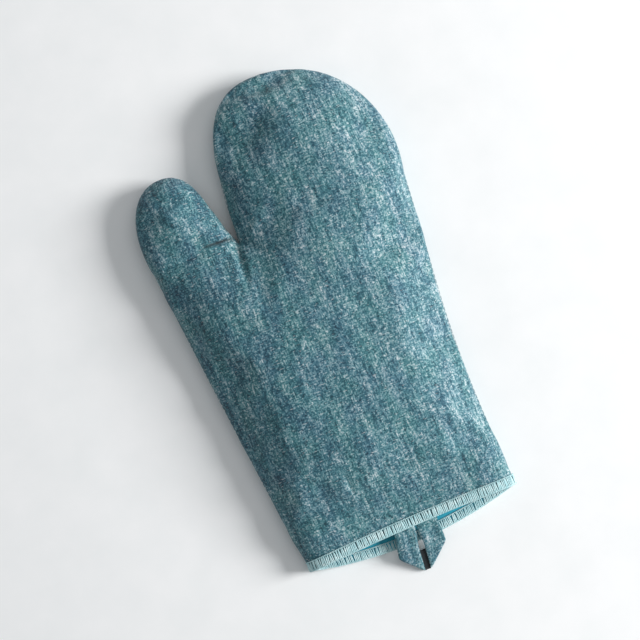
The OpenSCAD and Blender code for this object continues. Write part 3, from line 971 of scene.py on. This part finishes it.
def tape_point_set(u, v):
    """Middle surface of the tape and its upward side, with both mitres folded.

    It is taken at a length u from the first end and v across, before the tape droops.
    """
    half = TAPE_W + EYE_W / 2
    x = -half + TAPE_W / 2 + v
    y = TAIL - u
    p = np.stack([x, y, 0 * x], -1)
    up = np.tile([0.0, 0, 1.0], (len(u), 1))
    # The first mitre turns the tape behind itself towards +X, the second one up again.
    diagonal = math.sqrt(0.5)
    p, up = folded(p, up, np.array([-half, -LEG]), np.array([-diagonal, -diagonal]), -1)
    p2, up2 = folded(p, up, np.array([half, -LEG]), np.array([diagonal, -diagonal]), 1)
    crossed = u > TAIL + LEG + 0.35 * TAPE_W
    p[crossed], up[crossed] = p2[crossed], up2[crossed]
    return p, up


def hung(p, up):
    """The tape drooping from the lip outside, and lying under the lip inside it."""
    p, up = p.copy(), up.copy()
    out = np.clip(-p[:, 1] / LOOP_REACH, 0, 1)
    narrow = smooth(1 + p[:, 1] / LEG) * 1.5
    p[:, 0] += TIP_LEAN * out - np.sign(p[:, 0]) * narrow * (p[:, 1] > -LEG)
    y, z = p[:, 1].copy(), p[:, 2].copy()
    turn = np.where(y < 0, DROOP * smooth(0.35 - y / 8), DROOP * 0.35 * smooth(1 - y / 6) * 0.6)
    p[:, 1] = y * np.cos(turn) - z * np.sin(turn)
    p[:, 2] = np.where(y < 0, y * np.sin(DROOP), 0.05 * y) + z * np.cos(turn)
    # Cloth does not lie quite flat: each leg cups a little.
    p[:, 2] += 0.35 * np.sin(p[:, 0] * 0.42 + 0.6) * smooth(-y / 6) * smooth(1 + (y + 6) / LEG)
    return p + [LOOP_X, HINGE[1], HINGE[2]], up


def tape_length():
    return 2 * (TAIL + LEG) + EYE_W + 2 * TAPE_W + 2 * (math.pi - 2) * FOLD_R * math.sqrt(0.5)


def hanging_tape():
    """One strip of the shell's cloth, its raw edges turned in, folded to a point."""
    rows, cols = 260, 22
    length = tape_length()
    u = np.linspace(0, length, rows)
    v = np.linspace(-TAPE_W / 2, TAPE_W / 2, cols)
    uu, vv = (a.ravel() for a in np.meshgrid(u, v, indexing="ij"))
    p, up = tape_point_set(uu, vv)
    p, up = hung(p, up)
    edge = np.sqrt(np.clip(1 - (np.abs(vv) / (TAPE_W / 2)) ** 8, 0.06, 1))
    half = (TAPE_T / 2 * edge)[:, None]
    verts = np.concatenate([p + up * half, p - up * half])
    count = rows * cols
    faces = []
    for i in range(rows - 1):
        for j in range(cols - 1):
            a = i * cols + j
            ring = [a, a + cols, a + cols + 1, a + 1]
            faces += [ring, [k + count for k in ring[::-1]]]
    border = [i * cols for i in range(rows)]
    border += [(rows - 1) * cols + j for j in range(1, cols)]
    border += [i * cols + cols - 1 for i in range(rows - 2, -1, -1)]
    border += [j for j in range(cols - 2, 0, -1)]
    for a, b in zip(border, border[1:] + border[:1]):
        faces.append([b, a, a + count, b + count])
    tape = new_mesh("hanging_tape", to_frame(verts), faces, CHAMBRAY)
    # The tape is cut from another part of the cloth.
    # The stretch that crosses behind the eye is darkened on the side that faces it: painted shade for the
    # shadow in the slot between the legs.
    behind = smooth((EYE_W / 2 + 2.5 - np.abs(uu - length / 2)) / 1.5)
    give_cloth_and_shade(tape, np.tile(np.stack([vv + 40, uu + 400], -1), (2, 1)),
               np.concatenate([0 * behind, behind]))
    return tape, length


def tape_stitches():
    """Stitches along the inner edge of each leg, which close the folded tape."""
    threads = Threads()
    arch = np.array([-0.1, 0.16, 0.16, -0.1])[:, None]
    for start in np.arange(TAIL + 2, TAIL + LEG - 3, 2.6):
        for on_second_leg in (False, True):
            u = start + np.linspace(0, 1.8, 4)
            p, up = hung(*tape_point_set(u, np.full(4, TAPE_W / 2 - 1.6)))
            if on_second_leg:
                out = np.clip(-(p[:, 1] - HINGE[1]) / LOOP_REACH, 0, 1)
                p[:, 0] = 2 * LOOP_X - p[:, 0] + 2 * TIP_LEAN * out
            threads.lay(p + up * (TAPE_T / 2 + arch), 0.2, sides=5)
    return threads.piece("tape_edge_thread", SEAM_THREAD)


def bar_tacks():
    """Dense bars of thread that hold the tape's ends inside the lip."""
    threads = Threads()
    for u_side in (1, -1):
        for k in range(16):
            v = mix(-TAPE_W / 2 + 1.2, TAPE_W / 2 - 1.2, k / 15)
            p, up = hung(*tape_point_set(TAIL * 0.2 + np.linspace(-1, 1, 4), np.full(4, v)))
            if u_side == -1:
                p[:, 0] = 2 * LOOP_X - p[:, 0]
            arch = np.array([0.0, 0.2, 0.2, 0.0])[:, None]
            threads.lay(p - up * (TAPE_T / 2 + arch), 0.24, sides=5)
    return threads.piece("loop_bar_tack_thread", SEAM_THREAD)


tape, flat_length = hanging_tape()
tape_thread = tape_stitches()
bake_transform(tape)
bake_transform(tape_thread)
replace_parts(tape, "hanging_loop", "loop_tails")
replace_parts(tape_thread, "loop_edge_stitches")
tacks = bar_tacks()
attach(tacks, "mitt")
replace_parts(tacks, "loop_bar_tacks")
